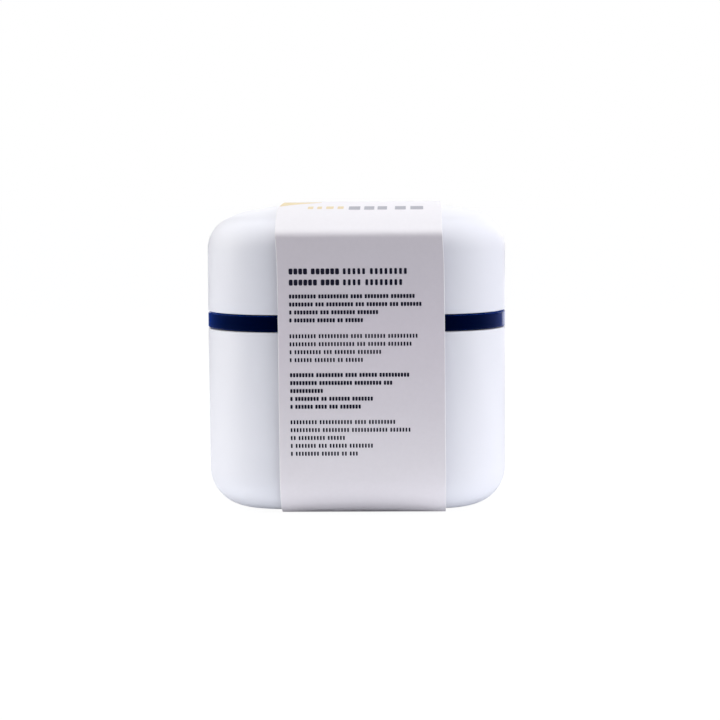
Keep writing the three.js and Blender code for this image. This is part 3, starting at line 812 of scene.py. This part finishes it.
def make_basket():
    low, top = BASKET_LOW[2], BASKET_HIGH[2]
    rim_low = top - RIM_THICKNESS
    obj = cup_block("strainer_bowl", BASKET_INSET, low, rim_low + OVERLAP, BASKET_FOOT)
    rim = inset_prism("rim", BASKET_INSET - RIM_WIDTH, rim_low, top)
    round_level(rim, rim_low, RIM_UNDER_ROUNDING, RIM_STEPS)
    round_level(rim, top, RIM_TOP_ROUNDING, RIM_STEPS)
    combine(obj, rim, "UNION")
    room = cup_block("room", BASKET_INSET + BASKET_WALL, low + BASKET_WALL, top + OVERRUN,
                     BASKET_FOOT - BASKET_WALL)
    hole = cross_rod("trunnion_hole", TRUNNION_HOLE, -HALF, HALF, HANDLE_AXIS)
    for cut in (room, drain_holes(low), wall_slits(top), hole):
        combine(obj, cut, "DIFFERENCE")
    soften(obj, BASKET_BREAK)
    smooth_flats(obj)
    finish_piece(obj, "strainer", NAVY, "navy_plastic", "strainer_basket")


def drain_holes(low):
    """A square grid of holes without its four corners."""
    middle = (DRAIN_ROWS - 1) / 2
    start, end = low - OVERRUN, low + BASKET_WALL + OVERRUN
    holes = []
    for row in range(DRAIN_ROWS):
        for column in range(DRAIN_ROWS):
            if abs(row - middle) == middle and abs(column - middle) == middle:
                continue
            x = (column - middle) * DRAIN_PITCH
            y = (row - middle) * DRAIN_PITCH
            holes.append(rod("drain", DRAIN_RADIUS, (x, y, start), (x, y, end)))
    return join(holes)


def wall_slits(top):
    """Rows of round-ended slits, each cut through two opposite walls at once."""
    high = top - SLIT_TOP_DROP
    low = high - SLIT_HEIGHT
    slits = []
    for place in range(SLITS_PER_SIDE):
        along = (place - (SLITS_PER_SIDE - 1) / 2) * SLIT_PITCH
        for axis in (0, 1):
            across = 1 - axis
            start = Vector((0, 0, low))
            end = Vector((0, 0, high))
            start[across], end[across] = along - SLIT_WIDTH / 2, along + SLIT_WIDTH / 2
            start[axis], end[axis] = -HALF, HALF
            slit = box("slit", start, end)
            pick(slit, "EDGE", edges_along(axis))
            bevel_picked(SLIT_WIDTH * NEARLY_HALF, SLIT_END_STEPS)
            done()
            slits.append(slit)
    rows = slits[0]
    for slit in slits[1:]:
        combine(rows, slit, "UNION")
    return rows


# Swinging handle: a rounded bow with a trunnion at each end
def make_handle():
    low, high = HANDLE_Z - HANDLE_THICKNESS / 2, HANDLE_Z + HANDLE_THICKNESS / 2
    reach = HANDLE_HIGH[1]
    obj = bow_block("strainer_bow", HANDLE_HALF, reach, 0, HANDLE_BEND, low, high)
    inner = bow_block("bow_room", HANDLE_HALF - HANDLE_BAR, reach - HANDLE_BAR, -OVERRUN,
                      HANDLE_BEND - HANDLE_BAR, low - OVERRUN, high + OVERRUN)
    combine(obj, inner, "DIFFERENCE")
    soften(obj, HANDLE_ROUNDING, HANDLE_ROUNDING_STEPS, degrees=50)
    for side in (-1, 1):
        root = side * (HANDLE_HALF - HANDLE_BAR)
        disc = cross_rod("root", HANDLE_BAR / 2, root, side * HANDLE_HALF, HANDLE_AXIS)
        soften(disc, ROOT_ROUNDING, EDGE_STEPS)
        trunnion = cross_rod("trunnion", TRUNNION_RADIUS, root + side * OVERLAP,
                             side * HANDLE_HIGH[0], HANDLE_AXIS)
        soften(trunnion, TRUNNION_ROUNDING, EDGE_STEPS)
        combine(obj, disc, "UNION")
        combine(obj, trunnion, "UNION")
    smooth_flats(obj)
    finish_piece(obj, "handle", NAVY, "navy_plastic", "strainer_handle")


def bow_block(name, half, reach, back, bend, low, high):
    """A flat block whose two corners at its reach are rounded."""
    obj = box(name, (-half, back, low), (half, reach, high))
    pick(obj, "EDGE", lambda edge: edges_along(2)(edge) and edge.verts[0].co.y > reach - CLOSE)
    bevel_picked(bend, HANDLE_BEND_STEPS)
    done()
    return obj


# Coil springs behind the button
SPRING_TURNS = 3
SPRING_WIRE = 0.2 * MM
SPRING_STEPS = 16


def make_spring(node):
    low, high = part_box(node)
    centre = (Vector(low) + Vector(high)) / 2
    reach = (high[0] - low[0]) / 2 - SPRING_WIRE
    length = high[1] - low[1] - 2 * SPRING_WIRE
    curve = bpy.data.curves.new(node + "_wire", "CURVE")
    curve.dimensions = "3D"
    curve.bevel_depth = SPRING_WIRE
    curve.bevel_resolution = 3
    curve.use_fill_caps = True
    spline = curve.splines.new("POLY")
    steps = SPRING_TURNS * SPRING_STEPS
    spline.points.add(steps)
    for step in range(steps + 1):
        turn = step / SPRING_STEPS * 2 * math.pi
        spline.points[step].co = (
            centre.x + reach * math.cos(turn),
            low[1] + SPRING_WIRE + length * step / steps,
            centre.z + reach * math.sin(turn),
            1)
    obj = bpy.data.objects.new(node + "_coil", curve)
    bpy.context.collection.objects.link(obj)
    activate(obj)
    bpy.ops.object.convert(target="MESH")
    obj = bpy.context.active_object
    smooth(obj, degrees=60)
    finish_piece(obj, "base", STEEL, "steel", node)
    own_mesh(obj)


# Card sleeve
def curve_points(start, first, second, end, steps):
    """Points along a cubic curve, without its start."""
    points = []
    for step in range(1, steps + 1):
        t = step / steps
        s = 1 - t
        points.append(
            s ** 3 * start + 3 * s * s * t * first + 3 * s * t * t * second + t ** 3 * end)
    return points


def sleeve_outline():
    """The sleeve's outer face as a loop of (y, z), from under the near side round over the top."""
    side = SLEEVE_HIGH[1]
    peak = SLEEVE_HIGH[2]
    floor = SLEEVE_LOW[2]
    crease = peak - CREASE_DROP
    half = [Vector((0, floor)), Vector((-side / 2, floor))]
    for step in range(BEND_STEPS + 1):
        angle = -math.pi / 2 - step / BEND_STEPS * math.pi / 2
        half.append(Vector((-side + BEND_RADIUS + BEND_RADIUS * math.cos(angle),
                            floor + BEND_RADIUS + BEND_RADIUS * math.sin(angle))))
    panel = crease - CREASE_RADIUS - floor - BEND_RADIUS
    for step in range(1, PANEL_STEPS + 1):
        half.append(Vector((-side, floor + BEND_RADIUS + panel * step / PANEL_STEPS)))
    slope = SLOPE_RISE / SLOPE_RUN
    start = half[-1]
    turned = Vector((-side + CREASE_RADIUS, crease + CREASE_RADIUS * slope))
    corner = Vector((-side, crease))
    half += curve_points(start, start.lerp(corner, 2 / 3), turned.lerp(corner, 2 / 3), turned,
                         CREASE_STEPS)
    half += curve_points(turned, Vector((-side + SLOPE_RUN, crease + SLOPE_RISE)),
                         Vector((-CROWN_RUN, peak)), Vector((0, peak)), CROWN_STEPS)
    return half + [Vector((-point.x, point.y)) for point in reversed(half[1:-1])]


def make_sleeve():
    outline = sleeve_outline()
    left, right = SLEEVE_LOW[0], SLEEVE_HIGH[0]
    deselect()
    bpy.ops.mesh.primitive_plane_add(size=1)
    obj = bpy.context.active_object
    obj.name = "sleeve_card"
    corners = [(left, outline[0]), (right, outline[0]), (left, outline[1]), (right, outline[1])]
    for vertex, (x, point) in zip(obj.data.vertices, corners):
        vertex.co = (x, point.x, point.y)
    pick(obj, "EDGE", lambda edge: all(abs(v.co.y - outline[1].x) < TIGHT for v in edge.verts))
    loop = outline[1:] + outline[:1]
    for here, there in zip(loop, loop[1:]):
        step = there - here
        bpy.ops.mesh.extrude_region_move(TRANSFORM_OT_translate={"value": (0, step.x, step.y)})
    bpy.ops.mesh.select_all(action="SELECT")
    bpy.ops.mesh.remove_doubles(threshold=CLOSE)
    bpy.ops.mesh.normals_make_consistent(inside=False)
    done()
    apply_modifier(obj, "SOLIDIFY", thickness=CARD, offset=-1, use_even_offset=True)
    for side in (left, right):
        pick(obj, "EDGE", lambda edge: is_card_edge(edge, side))
        bevel_picked(CARD_ROUNDING, EDGE_STEPS)
        done()
    obj.data.materials.append(CARD_FACE)
    obj.data.materials.append(CARD_EDGE)
    for face in obj.data.polygons:
        if abs(face.normal.x) > RAW_EDGE:
            face.material_index = 1
    skew(obj)
    smooth(obj, degrees=25)
    finish_piece(obj, "sleeve", None, "card", "card_sleeve")


def is_card_edge(edge, side):
    """True for the two long edges of the card on one side, which run round the loop."""
    if any(abs(vertex.co.x - side) > TIGHT for vertex in edge.verts):
        return False
    return any(abs(face.normal.x) < RAW_EDGE for face in edge.link_faces)


def skew(obj):
    """The sleeve hangs a little askew: its foot stands further to the right than its top."""
    middle = (SLEEVE_LOW[2] + SLEEVE_HIGH[2]) / 2
    height = SLEEVE_HIGH[2] - SLEEVE_LOW[2]
    crease = SLEEVE_HIGH[2] - CREASE_DROP
    for vertex in obj.data.vertices:
        lean = min(max((vertex.co.z - crease + LEAN_HEIGHT) / LEAN_HEIGHT, 0), 1)
        vertex.co.x += SLEEVE_SKEW * (middle - vertex.co.z) / height - CREASE_LEAN * lean * lean


# Generic print on the sleeve: rows of plain blocks where the small print would be
TEXT_LEFT = 3.4 * MM
TEXT_TOP_DROP = 11.1 * MM
HEADING_PITCH = 3.25 * MM
LINE_PITCH = 2.34 * MM
WORD_GAP = 0.6
BLOCK_ROUNDING = 0.3
BOLD, PLAIN = "bold", "plain"
HEADING = {"pitch": 1.42 * MM, "height": 1.75 * MM, BOLD: 1.12 * MM, PLAIN: 0.8 * MM}
BODY = {"pitch": 0.895 * MM, "height": 1.2 * MM, BOLD: 0.66 * MM, PLAIN: 0.5 * MM}
# Each row: its type, the drop from the row before, and its runs of words as (weight, letters)
PRINT_ROWS = (
    (HEADING, 0, ((BOLD, (4, 6)), (PLAIN, (5, 8)))),
    (HEADING, 1, ((BOLD, (6, 4)), (PLAIN, (4, 8)))),
    (BODY, 1.75, ((BOLD, (9, 10, 4, 8, 8)),)),
    (BODY, 1, ((BOLD, (8, 3, 9, 3, 7, 3, 7)),)),
    (BODY, 1, ((BOLD, (1, 8, 3, 8, 7)),)),
    (BODY, 1, ((BOLD, (1, 7, 6, 2, 6)),)),
    (BODY, 2, ((PLAIN, (9, 10, 4, 7, 10)),)),
    (BODY, 1, ((PLAIN, (9, 12, 3, 6, 8)),)),
    (BODY, 1, ((PLAIN, (1, 9, 3, 7, 8)),)),
    (BODY, 1, ((PLAIN, (1, 6, 7, 2, 6)),)),
    (BODY, 1.9, ((BOLD, (8, 9, 4, 6, 10)),)),
    (BODY, 1, ((BOLD, (9, 11, 9, 3)),)),
    (BODY, 1, ((BOLD, (11,)),)),
    (BODY, 1, ((BOLD, (1, 8, 2, 7, 7)),)),
    (BODY, 1, ((BOLD, (1, 6, 4, 3, 7)),)),
    (BODY, 1.95, ((PLAIN, (9, 11, 4, 9)),)),
    (BODY, 1, ((PLAIN, (10, 9, 12, 7)),)),
    (BODY, 1, ((PLAIN, (2, 9, 6)),)),
    (BODY, 1, ((PLAIN, (1, 7, 3, 6, 8)),)),
    (BODY, 1, ((PLAIN, (1, 8, 6, 2, 3)),)),
)


def ink_word(x, z, letters, size, weight):
    """One word: a rounded block of ink on the near face of the sleeve, repeated in a row."""
    face = SLEEVE_LOW[1]
    width = size[weight]
    half = size["height"] / 2
    block = box("block", (x, face - INK_LIFT, z - half), (x + width, face, z + half))
    pick(block, "EDGE", edges_along(1))
    bevel_picked(width * BLOCK_ROUNDING, 2)
    done()
    if letters > 1:
        apply_modifier(block, "ARRAY", count=letters, use_relative_offset=False,
                       use_constant_offset=True, constant_offset_displace=(size["pitch"], 0, 0))
    return block


def make_print():
    z = SLEEVE_HIGH[2] - CREASE_DROP - TEXT_TOP_DROP
    words = []
    for size, drop, runs in PRINT_ROWS:
        z -= drop * (HEADING_PITCH if size is HEADING else LINE_PITCH)
        x = SLEEVE_LOW[0] + TEXT_LEFT
        for weight, counts in runs:
            for letters in counts:
                words.append(ink_word(x, z, letters, size, weight))
                x += (letters + WORD_GAP) * size["pitch"]
    obj = join(words)
    obj.name = "sleeve_print"
    skew(obj)
    finish_piece(obj, "sleeve", NAVY_INK, "card")


# Generic print on top of the sleeve: plain bars and a plain wedge, each as
# (left, right, near at its left, near at its right, far) in millimetres
TOP_GREY = (
    (-1.2, 2.2, -33, -33, -26), (3.4, 6.4, -33, -33, -26), (7.4, 10.2, -33, -33, -26),
    (12.6, 15.8, -33, -33, -26), (17.2, 21.0, -33, -33, -26),
)
TOP_AMBER = (
    (-22.2, -10.5, -25, -2, 1), (-13.5, -11.9, -31.5, -31.5, -26), (-10.7, -9.3, -31.5, -31.5, -26),
    (-8.0, -5.8, -31.5, -31.5, -26), (-4.6, -2.8, -31.5, -31.5, -26),
)
TOP_STEPS = 6


def card_height(y):
    """Height of the sleeve's outer face over a place on the top."""
    points = [point for point in sleeve_outline() if point.y > SLEEVE_HIGH[2] - CREASE_DROP]
    points.sort(key=lambda point: point.x)
    for here, there in zip(points, points[1:]):
        if here.x <= y <= there.x:
            return here.y + (there.y - here.y) * (y - here.x) / (there.x - here.x)
    return SLEEVE_HIGH[2]


def top_bar(left, right, near_left, near_right, far):
    """A thin flat bar of ink that follows the card."""
    deselect()
    bpy.ops.mesh.primitive_grid_add(x_subdivisions=TOP_STEPS, y_subdivisions=TOP_STEPS, size=1)
    bar = bpy.context.active_object
    for vertex in bar.data.vertices:
        across = vertex.co.x + 0.5
        near = near_left + across * (near_right - near_left)
        x = (left + across * (right - left)) * MM
        y = (near + (vertex.co.y + 0.5) * (far - near)) * MM
        vertex.co = (x, y, card_height(y) + INK_LIFT)
    apply_modifier(bar, "SOLIDIFY", thickness=INK_LIFT, offset=-1)
    return bar


def make_top_print():
    for name, bars, ink in (("top_bars", TOP_GREY, GREY_INK), ("top_stripe", TOP_AMBER, AMBER_INK)):
        obj = join([top_bar(*bar) for bar in bars])
        obj.name = name
        skew(obj)
        finish_piece(obj, "sleeve", ink, "card")


# Floor: its own tone takes the shadows, and a share of it glows white
FLOOR_SIZE = 6
FLOOR_TONE = (0.68, 0.70, 0.735)
FLOOR_GLOW = 1.09
FLOOR_GLOW_SHARE = 0.88
MIRRORED_GLOW = 0.75
# Light thrown back up in front and behind, by the distance from the middle and the direction
BOUNCE = 0.36
BOUNCE_START = 0.035
BOUNCE_NEAR = 0.062
BOUNCE_FAR = 0.24
BOUNCE_ENDS = (0.3, 0.75)

# World and lamp
SIDE_LIGHT = 5.4
# Colour of the side light by how far to the left or right it comes from
SIDE_STOPS = (
    (0.000, (1.173, 1.143, 1.099)),
    (0.050, (0.474, 0.464, 0.453)),
    (0.100, (0.192, 0.189, 0.190)),
    (0.200, (0.032, 0.032, 0.035)),
    (0.325, (0.006, 0.006, 0.007)),
    (0.500, (0.000, 0.000, 0.000)),
    (0.675, (0.028, 0.028, 0.033)),
    (0.800, (0.092, 0.093, 0.106)),
    (0.900, (0.256, 0.256, 0.272)),
    (0.950, (0.470, 0.466, 0.478)),
    (1.000, (0.894, 0.879, 0.876)),
)
# Fields that only glossy faces mirror, each as its direction, and where it begins and is full:
# a white backdrop, and on the floor a bright card and a dark gap
BACKDROP = ((0.27, 0.963, 0), 0.83, 0.88)
FLOOR_CARD = ((0.358, 0.934, 0), 0.9455, 0.9636)
FLOOR_GAP = ((-0.82, 0.57, 0), 0.6, 0.85)
GAP_TONE = (0.05, 0.06, 0.09)
# The card and the gap lie in a strip of floor that only the band mirrors. Each of its two sides
# is given as the distance where it ends and where it is full
STRIP_EDGES = ((0.58, 0.68), (1.05, 0.92))
CEILING_EDGE = 0.25
CEILING_FULL = 0.9
POOL_POWER = 1.3
POOL_SPREAD = math.radians(50)
POOL_SIZE = 0.88
POOL_PLACE = (0, -0.06, 1.18)


def field_share(tree, direction, field):
    """How far a direction lies inside a field, from 0 to 1."""
    middle, edge, full = field
    towards = add_node(
        tree, "ShaderNodeVectorMath", {0: direction, 1: middle}, operation="DOT_PRODUCT")
    return rescale(tree, towards["Value"], edge, full)


def mix_shaders(tree, share, first, second):
    return add_node(tree, "ShaderNodeMixShader", {"Fac": share, 1: first, 2: second})["Shader"]


def emission(tree, strength):
    return add_node(tree, "ShaderNodeEmission", {"Strength": strength})["Emission"]


def make_floor():
    """A white floor that keeps the object's shadow and throws a little light back up near it."""
    deselect()
    bpy.ops.mesh.primitive_plane_add(size=FLOOR_SIZE, location=(0, 0, 0))
    floor = bpy.context.active_object
    floor.name = "floor"
    material, shader = principled(
        "pale_floor", FLOOR_TONE, roughness=0.9, Specular_IOR_Level=0.1)
    tree = material.node_tree
    ray = tree.nodes.new("ShaderNodeLightPath").outputs
    place = tree.nodes.new("ShaderNodeTexCoord").outputs["Object"]
    outwards = add_node(tree, "ShaderNodeVectorMath", {0: place}, operation="NORMALIZE")["Vector"]
    distance = add_node(tree, "ShaderNodeVectorMath", {0: place}, operation="LENGTH")["Value"]

    near_side, far_side = [rescale(tree, distance, *edge) for edge in STRIP_EDGES]
    strip = product(tree, ray["Is Glossy Ray"], near_side, far_side)
    card = product(tree, strip, field_share(tree, outwards, FLOOR_CARD))
    gap = product(tree, strip, field_share(tree, outwards, FLOOR_GAP))
    tones = {"Fac": gap, "Color1": (*FLOOR_TONE, 1), "Color2": (*GAP_TONE, 1)}
    tree.links.new(add_node(tree, "ShaderNodeMixRGB", tones)["Color"], shader.inputs["Base Color"])
    strength = calculate(
        tree, "MULTIPLY_ADD", ray["Is Glossy Ray"], MIRRORED_GLOW, FLOOR_GLOW)
    seen = product(tree, ray["Is Camera Ray"], FLOOR_GLOW_SHARE)
    white = mix_shaders(tree, calculate(tree, "MAXIMUM", seen, card),
                        shader.outputs["BSDF"], emission(tree, strength))

    fading = rescale(tree, distance, BOUNCE_NEAR, BOUNCE_FAR, BOUNCE, 0, "SMOOTHSTEP")
    starting = rescale(tree, distance, BOUNCE_START, BOUNCE_NEAR, curve="SMOOTHSTEP")
    y = add_node(tree, "ShaderNodeSeparateXYZ", {"Vector": outwards})["Y"]
    ahead = rescale(tree, calculate(tree, "ABSOLUTE", y), *BOUNCE_ENDS)
    bounce = product(tree, fading, starting, ahead, ray["Is Diffuse Ray"])
    both = add_node(tree, "ShaderNodeAddShader", {0: white, 1: emission(tree, bounce)})["Shader"]
    tree.links.new(both, tree.nodes["Material Output"].inputs["Surface"])
    floor.data.materials.append(material)


def make_world():
    """Soft light from both sides, with a white backdrop and ceiling for what is mirrored."""
    world = bpy.data.worlds.new("studio")
    bpy.context.scene.world = world
    world.use_nodes = True
    tree = world.node_tree
    ray = tree.nodes.new("ShaderNodeLightPath").outputs
    direction = tree.nodes.new("ShaderNodeTexCoord").outputs["Generated"]
    parts = add_node(tree, "ShaderNodeSeparateXYZ", {"Vector": direction})
    light = tree.nodes["Background"]
    light.inputs["Strength"].default_value = SIDE_LIGHT
    across = rescale(tree, parts["X"], -1, 1)
    tree.links.new(colour_ramp(tree, across, SIDE_STOPS), light.inputs["Color"])
    ceiling = rescale(tree, parts["Z"], CEILING_EDGE, CEILING_FULL)
    tent = calculate(tree, "MAXIMUM", field_share(tree, direction, BACKDROP), ceiling)
    level = calculate(tree, "MAXIMUM", tent, ray["Is Camera Ray"])
    white = {"Color": (1, 1, 1, 1), "Strength": level}
    seen = add_node(tree, "ShaderNodeBackground", white)["Background"]
    mirrored = calculate(tree, "MAXIMUM", ray["Is Glossy Ray"], ray["Is Transmission Ray"])
    shown = calculate(tree, "MAXIMUM", mirrored, ray["Is Camera Ray"])
    mix = mix_shaders(tree, shown, light.outputs["Background"], seen)
    tree.links.new(mix, tree.nodes["World Output"].inputs["Surface"])


def make_lamp():
    """One wide lamp far overhead, which nothing mirrors."""
    light = bpy.data.lights.new("overhead_pool", "AREA")
    light.shape = "DISK"
    light.size = POOL_SIZE
    light.spread = POOL_SPREAD
    light.energy = POOL_POWER
    lamp = bpy.data.objects.new("overhead_pool", light)
    bpy.context.collection.objects.link(lamp)
    lamp.location = POOL_PLACE
    lamp.visible_glossy = False
    aim = Vector((0, 0, AIM_HEIGHT)) - Vector(POOL_PLACE)
    lamp.rotation_mode = "QUATERNION"
    lamp.rotation_quaternion = aim.to_track_quat("-Z", "Y")


def make_camera():
    data = bpy.data.cameras.new("camera")
    data.sensor_width = SENSOR_MM
    data.lens = FOCAL_PIXELS / FRAME_PIXELS * SENSOR_MM
    data.shift_x = (FRAME_PIXELS / 2 - CENTRE_X) / FRAME_PIXELS
    data.shift_y = (CENTRE_Y - FRAME_PIXELS / 2) / FRAME_PIXELS
    data.clip_start = NEAREST_SEEN
    camera = bpy.data.objects.new("camera", data)
    bpy.context.collection.objects.link(camera)
    back = Vector((0, -math.cos(CAMERA_PITCH), math.sin(CAMERA_PITCH)))
    back.rotate(Matrix.Rotation(-CAMERA_YAW, 3, "Z"))
    camera.location = Vector((0, 0, AIM_HEIGHT)) + back * CAMERA_DISTANCE
    look = (-back).to_track_quat("-Z", "Y").to_matrix()
    roll = Matrix.Rotation(CAMERA_ROLL, 3, "Z")
    camera.rotation_mode = "QUATERNION"
    camera.rotation_quaternion = (look @ roll).to_quaternion()
    bpy.context.scene.camera = camera


make_camera()
make_tub()
make_lid()
make_collar()
make_seal()
make_pin()
make_button()
make_spring("button_spring_left")
make_spring("button_spring_right")
make_basket()
make_handle()
make_sleeve()
make_print()
make_top_print()
make_floor()
make_world()
make_lamp()

bpy.context.scene.view_settings.view_transform = "Standard"
deselect()
